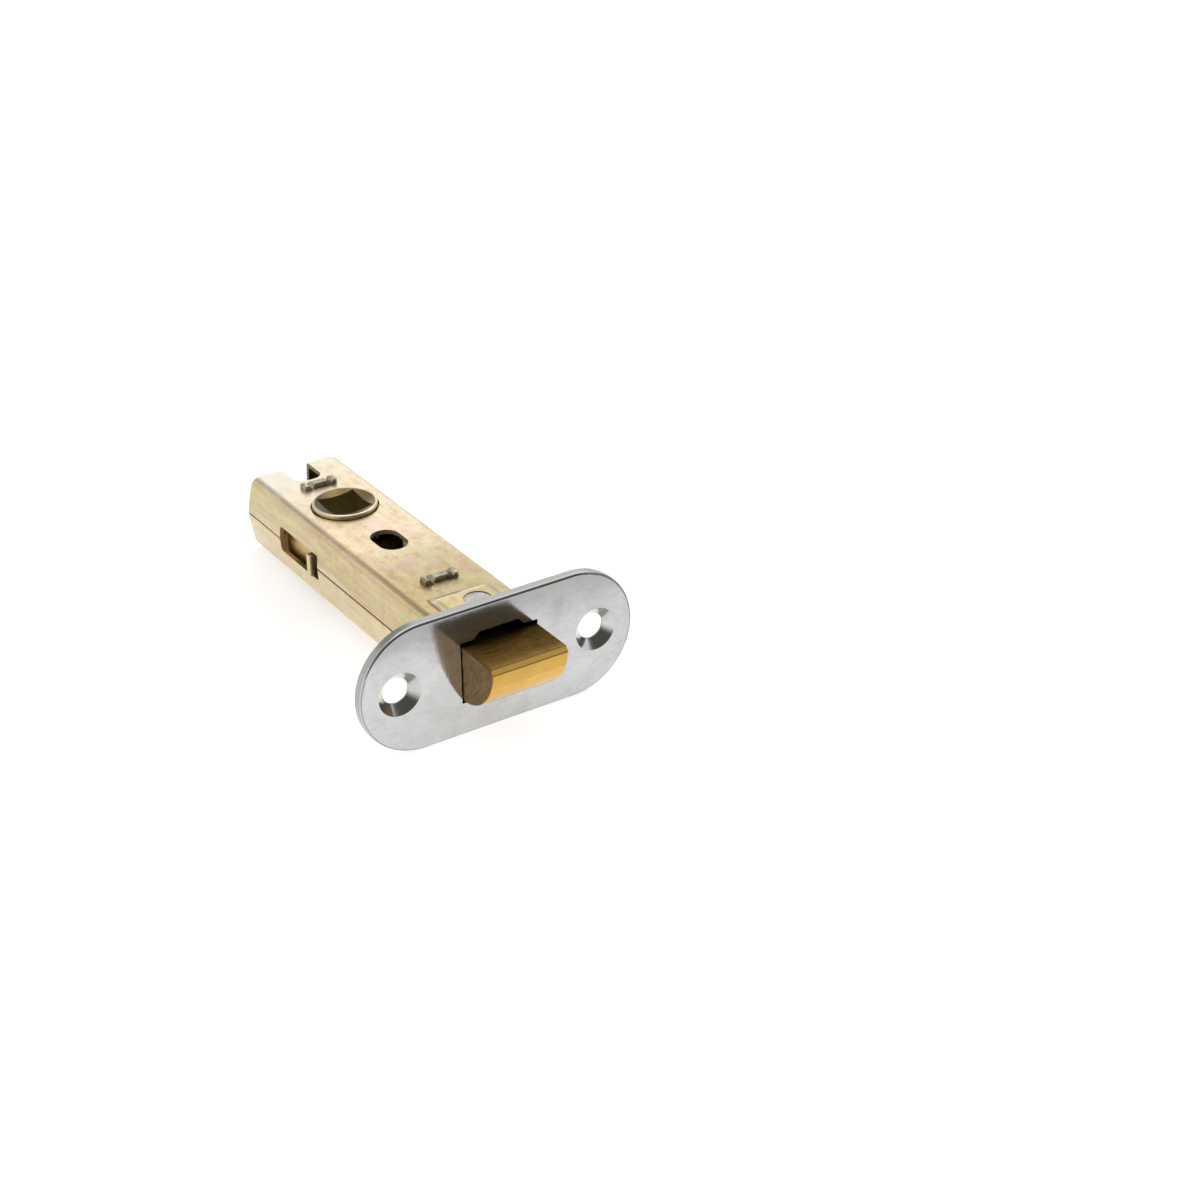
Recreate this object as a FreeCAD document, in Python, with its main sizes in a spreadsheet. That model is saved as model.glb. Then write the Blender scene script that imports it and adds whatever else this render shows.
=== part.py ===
import FreeCAD, Part
import math
import os

import Sketcher

# Tubular mortice latch, lying with its spindle axis upright.
# Frame: origin at the centre of the forend's front face, +X the way the bolt
# projects, +Y along the forend, +Z along the spindle axis. Millimetres.

doc = FreeCAD.newDocument("TubularLatch")
V = FreeCAD.Vector

# --------------------------------------------------------------------------
# Driving dimensions
# --------------------------------------------------------------------------
TABLE = [
    ("forend_length", 57.0, "forend, end to end"),
    ("forend_width", 25.4, "forend, across"),
    ("forend_thick", 2.0, "forend plate"),
    ("forend_round", 0.6, "rounding of the forend's front edge"),
    ("forend_back_round", 0.2, "rounding of the forend's back edge"),
    ("screw_spacing", 41.0, "screw holes, centre to centre"),
    ("screw_hole_rad", 2.55, "screw hole radius"),
    ("screw_sink", 1.72, "countersink depth and width"),
    ("aperture_half_y", 8.05, "bolt aperture, half width"),
    ("aperture_half_z", 6.15, "bolt aperture, half height"),
    ("aperture_notch_y", 5.3, "notch in the aperture, half width at its mouth"),
    ("aperture_notch_in", 4.0, "notch in the aperture, half width at its floor"),
    ("aperture_notch_z", 7.5, "notch in the aperture, half height"),
    ("case_top", 7.5, "outside of the case top above the axis"),
    ("case_half_top", 9.45, "case half width at its top edge"),
    ("case_half_seam", 10.6, "case half width at the seam"),
    ("case_side_rad", 40.0, "radius of the bulging side wall"),
    ("case_rear_top", 78.6, "case rear edge at the top, behind the forend face"),
    ("case_rear_seam", 79.3, "case rear at the seam"),
    ("case_sheet", 0.9, "case sheet thickness"),
    ("inner_half_low", 9.747, "inside half width one sheet below the seam"),
    ("inner_half_top", 8.742, "inside half width under the top"),
    ("case_bend", 1.9, "outside radius of the long case bends"),
    ("case_rear_bend", 0.8, "outside radius round the rear wall"),
    ("inner_rear_bend", 0.3, "inside radius round the rear wall"),
    ("seam_half", 0.14, "half of the seam gap"),
    ("panel_rear", 14.9, "rear edge of the raised front panel"),
    ("panel_half_base", 6.3, "raised panel, half width at its foot"),
    ("panel_half_top", 4.8, "raised panel, half width at its top"),
    ("panel_inner_base", 6.0, "inside of the raised panel, half width at its foot"),
    ("panel_inner_top", 4.55, "inside of the raised panel, half width at its top"),
    ("panel_rise", 0.55, "rise of the panel"),
    ("panel_run", 1.6, "length of the slope at the panel's rear"),
    ("panel_soft", 1.2, "rounding of the panel's upper edges"),
    ("weld_x", 9.7, "spot weld behind the forend face"),
    ("weld_y", 1.5, "spot weld off the middle"),
    ("weld_rad", 2.6, "spot weld radius"),
    ("weld_depth", 0.14, "spot weld dimple depth"),
    ("backset", 57.0, "forend face to spindle axis"),
    ("hub_hole_rad", 6.73, "case hole for the follower"),
    ("slot_x", 39.55, "through-bolt slot centre behind the forend face"),
    ("slot_long", 8.75, "through-bolt slot length"),
    ("slot_wide", 5.85, "through-bolt slot width"),
    ("notch_half", 2.9, "rear notch, half width"),
    ("notch_end", 71.0, "rear notch, front end"),
    ("notch_corner", 2.2, "rear notch, inner corner radius"),
    ("window_rear", 65.0, "side window rear end"),
    ("window_front", 49.5, "side window front end"),
    ("window_half_z", 2.68, "side window half height"),
    ("window_corner", 0.7, "side window corner radius"),
    ("front_spacer_x", 20.8, "front spacer middle"),
    ("rear_spacer_x", 67.8, "rear spacer middle"),
    ("spacer_thick", 2.0, "spacer plate"),
    ("front_spacer_half", 5.6, "front spacer half width"),
    ("rear_spacer_half", 7.0, "rear spacer half width"),
    ("tenon_half", 3.6, "tenon half length"),
    ("tenon_slot_gap", 0.06, "clearance round the tenon"),
    ("tenon_rise", 1.05, "staked tenon above the case"),
    ("stake_half", 3.7, "staked metal, half length"),
    ("stake_wide", 1.25, "staked metal, half thickness at its ends"),
    ("stake_waist", 0.88, "staked metal, half thickness in the middle"),
    ("stake_waist_half", 1.35, "waist of the staked metal, half length"),
    ("stake_lobe", 2.05, "end lobes of the staked metal start here"),
    ("stake_end", 0.7, "rounding of the staked metal's ends"),
    ("stake_soft", 0.42, "rounding of the staked metal's crown"),
    ("chisel_y", 2.2, "chisel mark off the middle"),
    ("chisel_floor", 0.32, "metal left under the chisel mark"),
    ("chisel_out", 0.62, "chisel mark, run towards the end"),
    ("chisel_in", 1.0, "chisel mark, run towards the middle"),
    ("bolt_half", 7.85, "bolt half width"),
    ("bolt_top", 5.6, "bolt upper face"),
    ("bolt_bottom", 5.8, "bolt lower face below the axis"),
    ("bolt_throw", 10.7, "bolt projection"),
    ("bolt_lip", 4.65, "height where the striking face starts"),
    ("bolt_lip_back", 9.95, "top face ends here"),
    ("bolt_nose_end", 0.9, "striking face runs out on the lower face, behind the forend face"),
    ("bolt_rear", 8.3, "bolt rear face behind the forend face"),
    ("bolt_corner", 0.4, "rounding of the bolt's side edges"),
    ("flat_half", 7.15, "bolt half width between the tail arms"),
    ("flat_front", 3.2, "front of the arm seats"),
    ("pocket_rad", 3.9, "spring pocket radius"),
    ("pocket_end", 3.0, "spring pocket floor, ahead of the forend face"),
    ("arm_thick", 1.5, "tail arm plate"),
    ("arm_half_z", 3.4, "tail arm half height"),
    ("arm_front", 3.5, "tail arm front end"),
    ("arm_rear", 65.6, "tail arm rear end"),
    ("arm_slot_rear", 51.0, "tail arm slot, rear end"),
    ("arm_slot_front", 42.0, "tail arm slot, front end"),
    ("arm_slot_half", 2.35, "tail arm slot, half height"),
    ("arm_corner", 0.9, "tail arm corner radius"),
    ("lug_rear", 52.6, "lug rear face"),
    ("lug_half", 2.15, "lug half height"),
    ("lug_reach", 11.3, "lug tip from the middle plane"),
    ("lug_soft", 0.3, "rounding of the lug's tip"),
    ("rivet_x", 5.8, "rivet axis behind the forend face"),
    ("rivet_rad", 1.5, "rivet shank radius"),
    ("rivet_gap", 0.03, "clearance round the rivet shank"),
    ("rivet_head_rad", 2.3, "rivet head radius"),
    ("rivet_head", 0.42, "rivet head height"),
    ("rivet_inner", 4.7, "rivet inner end from the middle plane"),
    ("guide_half", 4.4, "bolt guide half width"),
    ("guide_under", 6.05, "bolt guide underside above the axis"),
    ("guide_upper", 7.1, "bolt guide upper side"),
    ("guide_rear", 13.2, "bolt guide rear end"),
    ("pin_rad", 1.9, "spring guide pin radius"),
    ("pin_end", 8.8, "spring guide pin front end"),
    ("pin_soft", 0.6, "spring guide pin end bevel"),
    ("spring_rad", 3.15, "spring mean radius"),
    ("spring_wire", 0.45, "spring wire radius"),
    ("spring_turns", 9.0, "spring turns"),
    ("hub_shoulder_rad", 6.95, "follower body radius"),
    ("hub_shoulder_z", 6.3, "follower body half height"),
    ("hub_journal_rad", 6.66, "follower journal radius"),
    ("hub_collar_rad", 6.38, "follower collar radius"),
    ("hub_collar_step", 6.9, "collar starts above the case"),
    ("hub_top", 8.42, "follower end face"),
    ("hub_round", 0.42, "rounding of the collar rim"),
    ("dish_rad", 5.95, "dish rim radius"),
    ("dish_fall", 0.62, "dish fall from its rim to the square's flats"),
    ("square_half", 4.0, "half of the spindle square"),
    ("horn_half_z", 2.0, "follower horn half height"),
    ("horn_tip_x", 6.95, "horn tip centre ahead of the spindle axis"),
    ("horn_tip_y", 7.87, "horn tip centre off the middle"),
    ("horn_tip_rad", 0.8, "horn tip radius"),
]

sheet = doc.addObject("Spreadsheet::Sheet", "Dimensions")
for row, (alias, value, note) in enumerate(TABLE, start=1):
    sheet.set("A%d" % row, note)
    sheet.set("B%d" % row, "%.10g" % value)
    sheet.setAlias("B%d" % row, alias)
doc.recompute()


class Q:
    """A length that carries both its value and the cell formula behind it."""

    def __init__(self, num, text):
        self.num = float(num)
        self.text = text

    @staticmethod
    def of(x):
        return x if isinstance(x, Q) else Q(x, "%.10g" % x)

    def __add__(self, o):
        o = Q.of(o)
        return Q(self.num + o.num, "(%s + %s)" % (self.text, o.text))

    def __sub__(self, o):
        o = Q.of(o)
        return Q(self.num - o.num, "(%s - %s)" % (self.text, o.text))

    def __mul__(self, o):
        o = Q.of(o)
        return Q(self.num * o.num, "(%s * %s)" % (self.text, o.text))

    def __truediv__(self, o):
        o = Q.of(o)
        return Q(self.num / o.num, "(%s / %s)" % (self.text, o.text))

    def __neg__(self):
        return Q(-self.num, "(0 - %s)" % self.text)


D = {alias: Q(sheet.get(alias), "Dimensions." + alias) for alias, _, _ in TABLE}
ZERO = Q(0.0, "0")


# --------------------------------------------------------------------------
# Small helpers
# --------------------------------------------------------------------------
def new_body(name):
    body = doc.addObject("PartDesign::Body", name)
    body.Label = name
    return body


def origin_plane(body, role):
    for item in body.Origin.OriginFeatures:
        if item.Role == role:
            return item
    raise RuntimeError("no origin plane " + role)


def sketch_on(body, name, role, offset=None):
    sk = body.newObject("Sketcher::SketchObject", name)
    sk.AttachmentSupport = [(origin_plane(body, role), "")]
    sk.MapMode = "FlatFace"
    if offset is not None:
        sk.AttachmentOffset = FreeCAD.Placement(V(0, 0, offset.num), FreeCAD.Rotation())
        sk.setExpression("AttachmentOffset.Base.z", offset.text)
    return sk


def pin_point(sk, geo, pos, x, y):
    """Fix one point of a sketch by its two distances from the sketch origin."""
    for kind, value in (("DistanceX", x), ("DistanceY", y)):
        index = sk.addConstraint(Sketcher.Constraint(kind, -1, 1, geo, pos, value.num))
        if "Dimensions." in value.text:
            sk.setExpression("Constraints[%d]" % index, value.text)


def outline(sk, points, arcs=None):
    """Closed outline through points. arcs maps an edge number to (side, radius): side 1
    bulges to the right of the travel from point to point. A half circle also gives the
    axis and place of its centre, because its radius alone doesn't hold it."""
    arcs = arcs or {}
    pts = [(Q.of(x), Q.of(y)) for x, y in points]
    n = len(pts)
    first = None
    for i in range(n):
        a = V(pts[i][0].num, pts[i][1].num, 0)
        b = V(pts[(i + 1) % n][0].num, pts[(i + 1) % n][1].num, 0)
        if i in arcs:
            side, rad = arcs[i][:2]
            d = b - a
            half = d.Length / 2
            left = V(-d.y, d.x, 0)
            left.normalize()
            # the centre lies on the other side from the bulge
            rise = math.sqrt(max(rad.num ** 2 - half ** 2, 0.0))
            c = (a + b) * 0.5 + left * (rise * side)
            mid = c - left * (rad.num * side)
            curve = Part.Arc(a, mid, b)
            geo = sk.addGeometry(curve, False)
            arc = sk.Geometry[geo]
            ends = (1, 2) if arc.StartPoint.distanceToPoint(a) < 1e-6 else (2, 1)
            if len(arcs[i]) > 2:
                axis, place = arcs[i][2:]
                index = sk.addConstraint(Sketcher.Constraint("Distance" + axis, -1, 1, geo, 3, place.num))
                bound = place
            else:
                index = sk.addConstraint(Sketcher.Constraint("Radius", geo, rad.num))
                bound = rad
            sk.setExpression("Constraints[%d]" % index, bound.text)
        else:
            geo = sk.addGeometry(Part.LineSegment(a, b), False)
            ends = (1, 2)
        if first is None:
            first = (geo, ends[0])
        else:
            sk.addConstraint(Sketcher.Constraint("Coincident", last[0], last[1], geo, ends[0]))
        pin_point(sk, geo, ends[0], pts[i][0], pts[i][1])
        last = (geo, ends[1])
    sk.addConstraint(Sketcher.Constraint("Coincident", last[0], last[1], first[0], first[1]))


def circle(sk, x, y, rad):
    x, y = Q.of(x), Q.of(y)
    geo = sk.addGeometry(Part.Circle(V(x.num, y.num, 0), V(0, 0, 1), rad.num), False)
    index = sk.addConstraint(Sketcher.Constraint("Radius", geo, rad.num))
    sk.setExpression("Constraints[%d]" % index, rad.text)
    pin_point(sk, geo, 3, x, y)


def box_outline(sk, x0, x1, y0, y1):
    outline(sk, [(x0, y0), (x1, y0), (x1, y1), (x0, y1)])


def stadium(sk, x, y, half_long, rad, along="x"):
    """Slot outline: half_long is half of its full length, rad half of its width."""
    s = half_long - rad
    x, y = Q.of(x), Q.of(y)
    if along == "x":
        pts = [(x - s, y - rad), (x + s, y - rad), (x + s, y + rad), (x - s, y + rad)]
        ends = ("X", x + s), ("X", x - s)
    else:
        pts = [(x + rad, y - s), (x + rad, y + s), (x - rad, y + s), (x - rad, y - s)]
        ends = ("Y", y + s), ("Y", y - s)
    outline(sk, pts, {1: (1, rad) + ends[0], 3: (1, rad) + ends[1]})


def pad(body, sk, name, length, symmetric=False, reverse=False):
    f = body.newObject("PartDesign::Pad", name)
    f.Profile = sk
    if symmetric:
        f.SideType = "Symmetric"
    f.Reversed = reverse
    length = Q.of(length)
    f.Length = length.num
    if "Dimensions." in length.text:
        f.setExpression("Length", length.text)
    doc.recompute()
    return f


def pocket(body, sk, name, length=None, reverse=False):
    """Cut through everything both ways, or to a length on one side."""
    before = body.Shape.Volume
    f = body.newObject("PartDesign::Pocket", name)
    f.Profile = sk
    if length is None:
        f.Type = "ThroughAll"
        f.SideType = "Symmetric"
    else:
        f.Reversed = reverse
        f.Length = length.num
        f.setExpression("Length", length.text)
    doc.recompute()
    if not body.Shape.Volume < before - 1e-4:
        raise RuntimeError(name + " cut nothing")
    return f


def edges_where(shape, test):
    return ["Edge%d" % (i + 1) for i, e in enumerate(shape.Edges) if test(e)]


def faces_where(shape, test):
    return ["Face%d" % (i + 1) for i, f in enumerate(shape.Faces) if test(f)]


def dress(body, kind, name, test, size, prop):
    base = body.Tip
    names = edges_where(base.Shape, test)
    if not names:
        raise RuntimeError(name + " found no edge")
    f = body.newObject("PartDesign::" + kind, name)
    f.Base = (base, names)
    setattr(f, prop, size.num)
    f.setExpression(prop, size.text)
    doc.recompute()
    return f


def fillet(body, name, test, size):
    return dress(body, "Fillet", name, test, size, "Radius")


def chamfer(body, name, test, size):
    return dress(body, "Chamfer", name, test, size, "Size")


def near(a, b, tol=1e-3):
    return abs(a - b) < tol


def mid(e):
    return e.valueAt((e.FirstParameter + e.LastParameter) / 2)


def spread(e):
    b = e.BoundBox
    return b.XLength, b.YLength, b.ZLength


def mirror_of(source, name, normal):
    m = doc.addObject("Part::Mirroring", name)
    m.Label = name
    m.Source = source
    m.Base = V(0, 0, 0)
    m.Normal = normal
    doc.recompute()
    return m


# --------------------------------------------------------------------------
# Forend
# --------------------------------------------------------------------------
forend = new_body("forend")
sk = sketch_on(forend, "forend_outline", "YZ_Plane")
stadium(sk, 0, 0, D["forend_length"] / 2, D["forend_width"] / 2)
pad(forend, sk, "forend_plate", D["forend_thick"], reverse=True)

sk = sketch_on(forend, "aperture_outline", "YZ_Plane")
ay, az = D["aperture_half_y"], D["aperture_half_z"]
ny, ni, nz = D["aperture_notch_y"], D["aperture_notch_in"], D["aperture_notch_z"]
outline(sk, [(-ay, -az), (-ny, -az), (-ni, -nz), (ni, -nz), (ny, -az), (ay, -az),
             (ay, az), (ny, az), (ni, nz), (-ni, nz), (-ny, az), (-ay, az)])
pocket(forend, sk, "aperture")

sk = sketch_on(forend, "screw_circles", "YZ_Plane")
circle(sk, -(D["screw_spacing"] / 2), 0, D["screw_hole_rad"])
circle(sk, D["screw_spacing"] / 2, 0, D["screw_hole_rad"])
pocket(forend, sk, "screw_holes")

chamfer(forend, "countersinks",
        lambda e: isinstance(e.Curve, Part.Circle)
        and near(e.Curve.Radius, D["screw_hole_rad"].num) and near(mid(e).x, 0.0),
        D["screw_sink"])


def outer_rim(x):
    def test(e):
        m = mid(e)
        r = math.hypot(max(abs(m.y) - (D["forend_length"].num - D["forend_width"].num) / 2, 0.0), m.z)
        return near(m.x, x) and near(r, D["forend_width"].num / 2, 0.01) and spread(e)[0] < 1e-3
    return test


fillet(forend, "front_edge", outer_rim(0.0), D["forend_round"])
fillet(forend, "back_edge", outer_rim(-D["forend_thick"].num), D["forend_back_round"])


# --------------------------------------------------------------------------
# Case: two drawn trays that meet at the seam
# --------------------------------------------------------------------------
xf = -D["forend_thick"]
seam = D["seam_half"]
top = D["case_top"]
pr = D["panel_rise"]
lean = (D["case_rear_seam"] - D["case_rear_top"]) / (top - seam)


def tray_form(body, tag, low, half_low, half_top, side_rad, high, front, rear_shift, bend,
              rear_bend, panel_base, panel_top, panel_rear):
    """One skin of the tray: the bulging section, the leaning rear wall, the raised front
    panel and the rounded bends. It is drawn once for the outside and once for the inside."""
    sk = sketch_on(body, tag + "_section", "YZ_Plane", front)
    outline(sk, [(-half_low, low), (half_low, low), (half_top, high), (-half_top, high)],
            {1: (1, side_rad), 3: (1, side_rad)})
    pad(body, sk, tag + "_block", D["case_rear_seam"] + front + 1, reverse=True)

    # the rear wall leans forward towards the top
    back = D["case_rear_seam"] - rear_shift
    back_top = D["case_rear_top"] - rear_shift
    sk = sketch_on(body, tag + "_lean", "XZ_Plane")
    outline(sk, [(-back - lean * 2, seam - 2), (-back_top + lean, top + 1),
                 (-back - 5, top + 1), (-back - 5, seam - 2)])
    pocket(body, sk, tag + "_rear_wall")

    def long_bends(e):
        m = mid(e)
        return near(m.z, high.num) and near(abs(m.y), half_top.num, 0.01) and spread(e)[0] > 20

    def round_the_rear(e):
        m = mid(e)
        wall = -back_top.num - lean.num * (top.num - m.z)
        return near(m.x, wall, 0.02) and m.z > low.num + 0.3

    fillet(body, tag + "_bends", long_bends, bend)
    fillet(body, tag + "_rear_bends", round_the_rear, rear_bend)

    # raised panel behind the forend
    sk = sketch_on(body, tag + "_panel_section", "YZ_Plane", front)
    outline(sk, [(-panel_base, high - 1), (panel_base, high - 1), (panel_base, high),
                 (panel_top, high + pr), (-panel_top, high + pr), (-panel_base, high)])
    pad(body, sk, tag + "_panel", panel_rear + front, reverse=True)
    sk = sketch_on(body, tag + "_panel_slope", "XZ_Plane")
    foot = high + 0.02
    outline(sk, [(-panel_rear, foot), (-panel_rear + D["panel_run"], high + pr),
                 (-panel_rear + D["panel_run"], high + pr + 1), (-panel_rear - 1, high + pr + 1),
                 (-panel_rear - 1, foot)])
    pocket(body, sk, tag + "_panel_rear")


t = D["case_sheet"]
upper_case = new_body("upper_case")
tray_form(upper_case, "outer", seam, D["case_half_seam"], D["case_half_top"], D["case_side_rad"],
          top, xf, ZERO, D["case_bend"], D["case_rear_bend"],
          D["panel_half_base"], D["panel_half_top"], D["panel_rear"])
hollow = new_body("upper_case_hollow")
tray_form(hollow, "inner", seam - 1, D["inner_half_low"], D["inner_half_top"],
          D["case_side_rad"] - t, top - t, ZERO, t * 1.0154, D["case_bend"] - t,
          D["inner_rear_bend"], D["panel_inner_base"], D["panel_inner_top"], D["panel_rear"] - 0.15)
before = upper_case.Shape.Volume
cut = upper_case.newObject("PartDesign::Boolean", "case_hollow")
cut.setObjects([hollow])
cut.Type = "Cut"
doc.recompute()
if not upper_case.Shape.Volume < before * 0.5:
    raise RuntimeError("the tray is not hollow")

# follower hole, through-bolt slot
fillet(upper_case, "panel_soft_edges",
       lambda e: near(mid(e).z, (top + pr).num, 0.03) and mid(e).x < xf.num - 0.5
       and (spread(e)[0] > 5 or near(mid(e).x, -(D["panel_rear"] - D["panel_run"]).num, 0.05)),
       D["panel_soft"])
sk = sketch_on(upper_case, "hub_circle", "XY_Plane")
circle(sk, -D["backset"], 0, D["hub_hole_rad"])
pocket(upper_case, sk, "hub_hole")
sk = sketch_on(upper_case, "slot_outline", "XY_Plane")
stadium(sk, -D["slot_x"], 0, D["slot_long"] / 2, D["slot_wide"] / 2)
pocket(upper_case, sk, "through_bolt_slot")

# rear notch: the top face and the rear wall are cut away
sk = sketch_on(upper_case, "notch_outline", "XY_Plane")
nh, ne, nc = D["notch_half"], -D["notch_end"], D["notch_corner"]
far = -(D["case_rear_seam"] + 3)
outline(sk, [(far, -nh), (ne - nc, -nh), (ne, -nh + nc), (ne, nh - nc), (ne - nc, nh), (far, nh)],
        {1: (1, nc), 3: (1, nc)})
pocket(upper_case, sk, "rear_notch")

# slots for the staked tenons
for tag in ("front", "rear"):
    sk = sketch_on(upper_case, tag + "_tenon_slot", "XY_Plane")
    cx = -D[tag + "_spacer_x"]
    hx = D["spacer_thick"] / 2 + D["tenon_slot_gap"]
    hy = D["tenon_half"] + D["tenon_slot_gap"]
    box_outline(sk, cx - hx, cx + hx, -hy, hy)
    pocket(upper_case, sk, tag + "_tenon_hole")

# side windows, half in each tray
sk = sketch_on(upper_case, "window_outline", "XZ_Plane")
w0, w1, wz, wc = -D["window_rear"], -D["window_front"], D["window_half_z"], D["window_corner"]
outline(sk, [(w0, -1), (w1, -1), (w1, wz - wc), (w1 - wc, wz), (w0 + wc, wz), (w0, wz - wc)],
        {2: (1, wc), 4: (1, wc)})
pocket(upper_case, sk, "side_windows")

# flat dimple left by the spot weld
sk = sketch_on(upper_case, "weld_circle", "XY_Plane", top + pr)
circle(sk, -D["weld_x"], D["weld_y"], D["weld_rad"])
pocket(upper_case, sk, "weld_dimple", D["weld_depth"])

lower_case = mirror_of(upper_case, "lower_case", V(0, 0, 1))


# --------------------------------------------------------------------------
# Spacers with staked tenons
# --------------------------------------------------------------------------
def spacer(name, cx, half):
    body = new_body(name)
    inner = D["case_top"] - D["case_sheet"]
    ht2 = D["spacer_thick"] / 2
    sk = sketch_on(body, name + "_plate_outline", "XY_Plane")
    box_outline(sk, cx - ht2, cx + ht2, -half, half)
    pad(body, sk, name + "_plate", inner * 2, symmetric=True)
    sk = sketch_on(body, name + "_tenon_outline", "XY_Plane")
    box_outline(sk, cx - ht2, cx + ht2, -D["tenon_half"], D["tenon_half"])
    pad(body, sk, name + "_tenons", D["case_top"] * 2, symmetric=True)
    # staked metal outside the case: a rounded bar with two chisel marks across it
    tl, tw = D["stake_half"], D["stake_wide"]
    for tag, sign in (("upper", 1), ("lower", -1)):
        at = D["case_top"] * sign
        sk = sketch_on(body, name + "_" + tag + "_stake_outline", "XY_Plane", at)
        re, ww, wl, lo = D["stake_end"], D["stake_waist"], D["stake_waist_half"], D["stake_lobe"]
        outline(sk, [(cx - tw + re, -tl), (cx + tw - re, -tl), (cx + tw, -tl + re),
                     (cx + tw, -lo), (cx + ww, -wl), (cx + ww, wl), (cx + tw, lo),
                     (cx + tw, tl - re), (cx + tw - re, tl), (cx - tw + re, tl), (cx - tw, tl - re),
                     (cx - tw, lo), (cx - ww, wl), (cx - ww, -wl), (cx - tw, -lo), (cx - tw, -tl + re)],
                {1: (1, re), 7: (1, re), 9: (1, re), 15: (1, re)})
        pad(body, sk, name + "_" + tag + "_stake", D["tenon_rise"], reverse=sign < 0)
    out = (D["case_top"] + D["tenon_rise"]).num
    fillet(body, name + "_stake_crown",
           lambda e: spread(e)[2] < 1e-6 and near(abs(mid(e).z), out), D["stake_soft"])
    for tag, sign in (("upper", 1), ("lower", -1)):
        sk = sketch_on(body, name + "_" + tag + "_chisel", "YZ_Plane")
        low = (D["case_top"] + D["chisel_floor"]) * sign
        high = (D["case_top"] + D["tenon_rise"] + 0.2) * sign
        for side in (1, -1):
            outline(sk, [(D["chisel_y"] * side, low), ((D["chisel_y"] + D["chisel_out"]) * side, high),
                         ((D["chisel_y"] - D["chisel_in"]) * side, high)])
        pocket(body, sk, name + "_" + tag + "_chisel_marks")
    return body


front_spacer = spacer("front_spacer", -D["front_spacer_x"], D["front_spacer_half"])
rear_spacer = spacer("rear_spacer", -D["rear_spacer_x"], D["rear_spacer_half"])


# --------------------------------------------------------------------------
# Bolt guides under the raised panels
# --------------------------------------------------------------------------
upper_bolt_guide = new_body("upper_bolt_guide")
sk = sketch_on(upper_bolt_guide, "guide_outline", "XY_Plane", D["guide_under"])
box_outline(sk, -D["guide_rear"], xf, -D["guide_half"], D["guide_half"])
pad(upper_bolt_guide, sk, "guide_plate", D["guide_upper"] - D["guide_under"])
lower_bolt_guide = mirror_of(upper_bolt_guide, "lower_bolt_guide", V(0, 0, 1))


# --------------------------------------------------------------------------
# Latch bolt
# --------------------------------------------------------------------------
latch_bolt = new_body("latch_bolt")
# the striking face is one arc that runs out smoothly on the lower face
reach = D["bolt_throw"] + D["bolt_nose_end"]
rise = D["bolt_lip"] + D["bolt_bottom"]
nose_rad = (reach * reach + rise * rise) / (rise * 2)
sk = sketch_on(latch_bolt, "bolt_profile", "XZ_Plane")
outline(sk, [(-D["bolt_rear"], -D["bolt_bottom"]), (-D["bolt_nose_end"], -D["bolt_bottom"]),
             (D["bolt_throw"], D["bolt_lip"]), (D["bolt_lip_back"], D["bolt_top"]),
             (-D["bolt_rear"], D["bolt_top"])],
        {1: (1, nose_rad)})
pad(latch_bolt, sk, "bolt_block", D["bolt_half"] * 2, symmetric=True)
fillet(latch_bolt, "bolt_side_edges",
       lambda e: near(abs(mid(e).y), D["bolt_half"].num) and spread(e)[1] < 1e-6
       and mid(e).x > -D["bolt_rear"].num + 0.5,
       D["bolt_corner"])

for side, tag in ((-1, "left"), (1, "right")):
    sk = sketch_on(latch_bolt, tag + "_seat", "XY_Plane")
    a, b = D["flat_half"], D["bolt_half"] + 1
    if side < 0:
        a, b = -b, -a
    box_outline(sk, -(D["bolt_rear"] + 1), -D["flat_front"], a, b)
    pocket(latch_bolt, sk, tag + "_arm_seat")

sk = sketch_on(latch_bolt, "pocket_circle", "YZ_Plane", -D["bolt_rear"])
circle(sk, 0, 0, D["pocket_rad"])
pocket(latch_bolt, sk, "spring_pocket", D["bolt_rear"] + D["pocket_end"], reverse=True)

sk = sketch_on(latch_bolt, "rivet_circle", "XZ_Plane")
circle(sk, -D["rivet_x"], 0, D["rivet_rad"] + D["rivet_gap"])
pocket(latch_bolt, sk, "rivet_holes")


# --------------------------------------------------------------------------
# Tail arms and their rivets
# --------------------------------------------------------------------------
left_tail_arm = new_body("left_tail_arm")
sk = sketch_on(left_tail_arm, "arm_outline", "XZ_Plane", D["flat_half"])
a0, a1, az, ac = -D["arm_rear"], -D["arm_front"], D["arm_half_z"], D["arm_corner"]
outline(sk, [(a0 + ac, -az), (a1 - ac, -az), (a1, -az + ac), (a1, az - ac),
             (a1 - ac, az), (a0 + ac, az), (a0, az - ac), (a0, -az + ac)],
        {1: (1, ac), 3: (1, ac), 5: (1, ac), 7: (1, ac)})
box_outline(sk, -D["arm_slot_rear"], -D["arm_slot_front"], -D["arm_slot_half"], D["arm_slot_half"])
circle(sk, -D["rivet_x"], 0, D["rivet_rad"] + D["rivet_gap"])
pad(left_tail_arm, sk, "arm_plate", D["arm_thick"])
sk = sketch_on(left_tail_arm, "lug_outline", "XZ_Plane", D["flat_half"] + D["arm_thick"] / 2)
box_outline(sk, -D["lug_rear"], -D["arm_slot_rear"], -D["lug_half"], D["lug_half"])
pad(left_tail_arm, sk, "lug", D["lug_reach"] - D["flat_half"] - D["arm_thick"] / 2)
fillet(left_tail_arm, "lug_tip",
       lambda e: near(mid(e).y, -D["lug_reach"].num) and spread(e)[1] < 1e-6, D["lug_soft"])
right_tail_arm = mirror_of(left_tail_arm, "right_tail_arm", V(0, 1, 0))

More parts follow.
